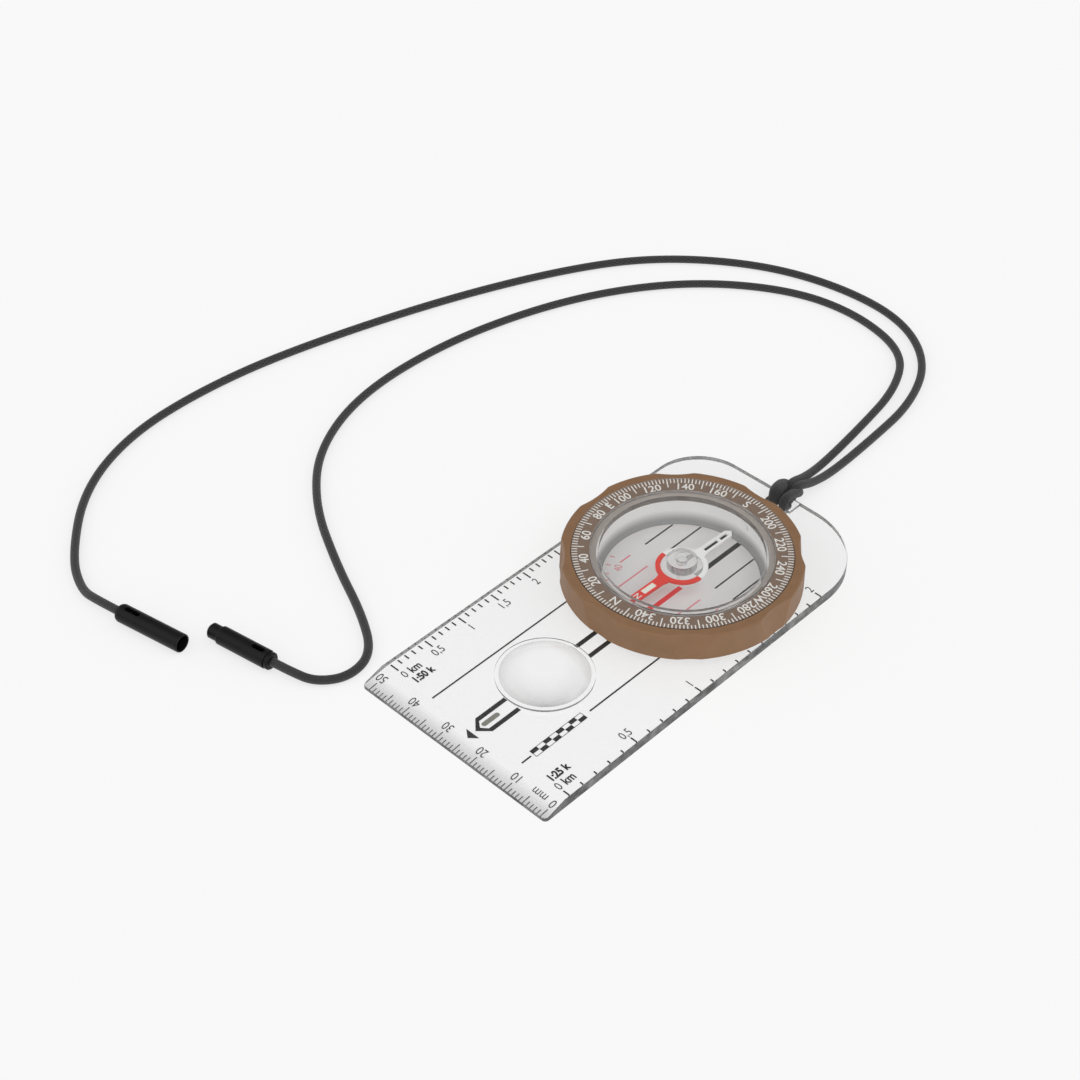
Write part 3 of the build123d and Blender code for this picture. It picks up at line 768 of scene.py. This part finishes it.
def declination_marks():
    """Faint red ticks near the disc's edge, either side of its north, with one number on each side."""
    mesh = bmesh.new()
    bottom = top_of("orienting_disc") / MM
    for side in (-1, 1):
        for bearing in range(20, 80, 10):
            radial_tick(mesh, side * bearing, *DECLINATION_TICK, DECLINATION_TICK_WIDTH, bottom)
        place = around_dial(DECLINATION_FOOT, side * DECLINATION_BEARING, bottom + PRINT_DEPTH)
        lettering(mesh, "40", DECLINATION_DIGITS, place)
    finish_mesh("declination_marks", mesh, faint_ink, DIAL)


def floor_printing():
    """The printing on the disc: red to the north and black to the south."""
    floor_lines("orienting_lines", red_ink, 1, ORIENTING_LINES)
    floor_lines("north_lines", faint_ink, 1, NORTH_LINES)
    floor_lines("south_lines", black_ink, -1, SOUTH_LINES)
    declination_marks()


def needle_letter():
    """The white N near the needle's north end."""
    mesh = bmesh.new()
    middle = Matrix.Translation((*dial_centre.xy, top_of("needle_blade")))
    along = middle @ Matrix.Rotation(NEEDLE_TURN, 4, "Z")
    place = along @ Matrix.Translation(mm(0, NEEDLE_LETTER_FOOT, NEEDLE_LETTER_LIFT))
    lettering(mesh, "N", 1.7, place, squeeze=0.85, weight=0.02)
    finish_mesh("needle_letter", mesh, white_ink, NEEDLE)


# Lanyard cord

CORD_DIAMETER = 2.0
CORD_REST = CORD_DIAMETER / 2
CONNECTOR_AXIS = 2.15
SQUEEZED = 0.7
SQUEEZED_REST = SQUEEZED * CORD_REST

# Round the bar, from the middle of the hitch's loop: over the bar, down the slot, back under the bar, up
# behind the plate and out over the loop. The last number of each point is the cord's thickness there, as a
# share of its usual one.
HITCH_A = [
    (0.8, -57.3, 1.8, 1.2),
    (-0.8, -57.2, 1.9, 1.1),
    (-1.3, -55.9, 2.8, 1.05),
    (-1.2, -54.0, 3.6, 1.2),
    (-1.1, -51.8, 3.7, 1.2),
    (-1.2, -50.6, 2.6, 1.1),
    (-1.3, -50.6, 1.0, 0.85),
    (-1.1, -52.0, SQUEEZED_REST, SQUEEZED),
    (-0.8, -53.8, SQUEEZED_REST, SQUEEZED),
    (-0.5, -55.2, 1.2, 0.9),
    (-0.4, -55.6, 3.2, 1.05),
    (-0.5, -57.0, 4.0, 1.1),
]
HITCH_B = [
    (0.8, -57.3, 1.8, 1.2),
    (2.3, -57.2, 2.0, 1.2),
    (2.7, -55.9, 3.1, 1.3),
    (2.4, -54.0, 3.9, 1.6),
    (2.0, -51.8, 3.9, 1.55),
    (1.7, -50.7, 2.7, 1.2),
    (1.6, -50.7, 1.0, 0.9),
    (1.6, -52.0, SQUEEZED_REST, SQUEEZED),
    (1.4, -53.8, SQUEEZED_REST, SQUEEZED),
    (1.3, -55.2, 1.2, 0.9),
    (1.3, -55.6, 3.2, 1.05),
    (1.2, -57.0, 4.0, 1.1),
]

# The length of each strand along its spline, in metres
LENGTH_A = 0.387
LENGTH_B = 0.360

# The strands' routes from the hitch to the connector, as in the CAD
STRAND_A = [
    (-1.3, -61.0, 2.6),
    (-1.1, -69.0, CORD_REST),
    (-0.4, -84.0, CORD_REST),
    (1.2, -102.5, CORD_REST),
    (8.6, -118.8, CORD_REST),
    (24.0, -128.6, CORD_REST),
    (45.2, -128.6, CORD_REST),
    (66.3, -121.5, CORD_REST),
    (87.0, -105.4, CORD_REST),
    (100.5, -84.4, CORD_REST),
    (114.0, -51.6, CORD_REST),
    (125.3, -11.2, CORD_REST),
    (128.7, 14.5, CORD_REST),
    (127.5, 37.2, CORD_REST),
    (119.0, 56.9, CORD_REST),
    (102.5, 72.6, CORD_REST),
    (92.5, 77.6, CORD_REST),
    (86.05, 77.76, CONNECTOR_AXIS),
    (78.87, 76.43, CONNECTOR_AXIS),
]
STRAND_B = [
    (1.2, -61.5, 2.6),
    (2.3, -70.0, CORD_REST),
    (4.3, -86.0, CORD_REST),
    (7.3, -104.3, CORD_REST),
    (14.9, -117.6, CORD_REST),
    (32.8, -122.3, CORD_REST),
    (51.1, -119.1, CORD_REST),
    (70.1, -106.2, CORD_REST),
    (84.1, -88.2, CORD_REST),
    (93.8, -66.5, CORD_REST),
    (99.9, -39.9, CORD_REST),
    (99.8, -12.2, CORD_REST),
    (91.3, 9.1, CORD_REST),
    (76.6, 23.2, CORD_REST),
    (57.8, 33.2, CORD_REST),
    (42.5, 39.8, CORD_REST),
    (32.0, 46.4, CORD_REST),
    (30.2, 54.4, CORD_REST),
    (34.3, 60.4, CORD_REST),
    (39.35, 62.74, CONNECTOR_AXIS),
    (45.27, 63.71, CONNECTOR_AXIS),
]


def lay_strand(name, hitch, route, length, nodes):
    """One strand of the cord, as a smooth spline from the middle of the hitch to its connector.

    nodes are the CAD nodes that it stands for.
    """
    curve = bpy.data.curves.new(name, "CURVE")
    curve.dimensions = "3D"
    curve.bevel_depth = CORD_REST * MM
    curve.bevel_resolution = 5
    curve.resolution_u = 10
    curve.use_fill_caps = True
    points = [*hitch, *((*point, 1.0) for point in route)]
    spline = curve.splines.new("NURBS")
    spline.points.add(len(points) - 1)
    for target, (x, y, z, thickness) in zip(spline.points, points):
        target.co = (x * MM, y * MM, z * MM, 1.0)
        target.radius = thickness
    spline.order_u = 3
    spline.use_endpoint_u = True
    spline.use_smooth = True
    curve.materials.append(braided_cord(length, CORD_DIAMETER * MM))
    strand = bpy.data.objects.new(name, curve)
    scene.collection.objects.link(strand)
    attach(strand, PLATE)
    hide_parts(*nodes)


# Studio

FLOOR_HALF_SIZE = 9000.0
FLOOR_GAP = 0.12

# The direction of a dark flag in the dome of light, which keeps level clear faces free of glare
FLAG = (0.517, -0.532, 0.670)


def studio_floor():
    """A pale, faintly glowing floor just below the model."""
    mesh = bmesh.new()
    bmesh.ops.create_grid(mesh, x_segments=1, y_segments=1, size=FLOOR_HALF_SIZE * MM)
    data = bpy.data.meshes.new("floor")
    mesh.to_mesh(data)
    mesh.free()
    floor = bpy.data.objects.new("floor", data)
    scene.collection.objects.link(floor)
    floor.location.z = -FLOOR_GAP * MM
    material, _, _, shader = new_material("pale_floor")
    shader.inputs["Base Color"].default_value = (0.30, 0.30, 0.30, 1.0)
    shader.inputs["Roughness"].default_value = 1.0
    shader.inputs["Specular IOR Level"].default_value = 0.0
    shader.inputs["Emission Color"].default_value = (1.0, 1.0, 1.0, 1.0)
    shader.inputs["Emission Strength"].default_value = 0.68
    data.materials.append(material)


def studio_light():
    """A dome of light that is darker near the horizon and at the flag."""
    world = bpy.data.worlds.new("studio")
    scene.world = world
    world.use_nodes = True
    nodes = world.node_tree.nodes
    links = world.node_tree.links
    sky = coordinates(nodes, "Generated")
    split = nodes.new("ShaderNodeSeparateXYZ")
    links.new(sky, split.inputs["Vector"])
    rise = mapped(nodes, links, split.outputs["Z"], 0.28, 1.2, 0.0, 0.42)
    facing = nodes.new("ShaderNodeVectorMath")
    facing.operation = "DOT_PRODUCT"
    facing.inputs[1].default_value = FLAG
    links.new(sky, facing.inputs[0])
    flag = mapped(nodes, links, facing.outputs["Value"], 1.0, 0.25, 0.55, 0.92)
    background = nodes["Background"]
    links.new(arithmetic(nodes, links, "MULTIPLY", rise, flag), background.inputs["Strength"])
    background.inputs["Color"].default_value = (1.0, 1.0, 1.0, 1.0)


add_camera()
scene.view_settings.view_transform = "Standard"
studio_floor()
studio_light()

clear_hub = hub_acrylic()
clear_cup = cup_acrylic()
black_ink = ink("black_ink", (0.012, 0.012, 0.012))
white_ink = ink("white_ink", (0.82, 0.80, 0.76), 0.1)
red_ink = ink("red_ink", (0.82, 0.035, 0.04), 0.1)
faint_ink = ink("faint_ink", (0.74, 0.27, 0.30), 0.2)
marker_paint = ink("marker_paint", (0.22, 0.22, 0.19), 0.1)
black_cover = black_plastic()

dress("baseplate", plate_acrylic())
dress("glide_washer", ink("pale_washer", (0.75, 0.75, 0.75)))
dress("retaining_ring", ink("retaining_ring", (0.72, 0.72, 0.72)))
dress("grip_ring", soft_rubber())
dress("scale_ring", scale_plastic())
dress("capsule_cover", lid_acrylic())
dress("capsule_base", clear_cup)
dress("filler_plug", clear_cup)
dress("capsule_gasket", ink("gasket_rubber", (0.40, 0.36, 0.33)))
dress("orienting_disc", frosted_disc())
dress("pivot_post", ink("post_plastic", (0.80, 0.80, 0.79)))
dress("pivot_pin", pin_steel())
dress("needle_blade", painted_needle())
dress("luminous_insert", luminous_paint())
dress("needle_hub", clear_hub)
dress("bearing_jewel", clear_hub)
dress("breakaway_socket", black_cover)
dress("breakaway_plug", black_cover)
dress("cord_stop_a", black_cover)
dress("cord_stop_b", black_cover)

lay_strand("cord_strand_a", HITCH_A, STRAND_A, LENGTH_A, ("lanyard_strand_a", "lanyard_hitch"))
lay_strand("cord_strand_b", HITCH_B, STRAND_B, LENGTH_B, ("lanyard_strand_b", "lanyard_hitch"))

plate_printing()
travel_marker()
dial_printing()
floor_printing()
needle_letter()
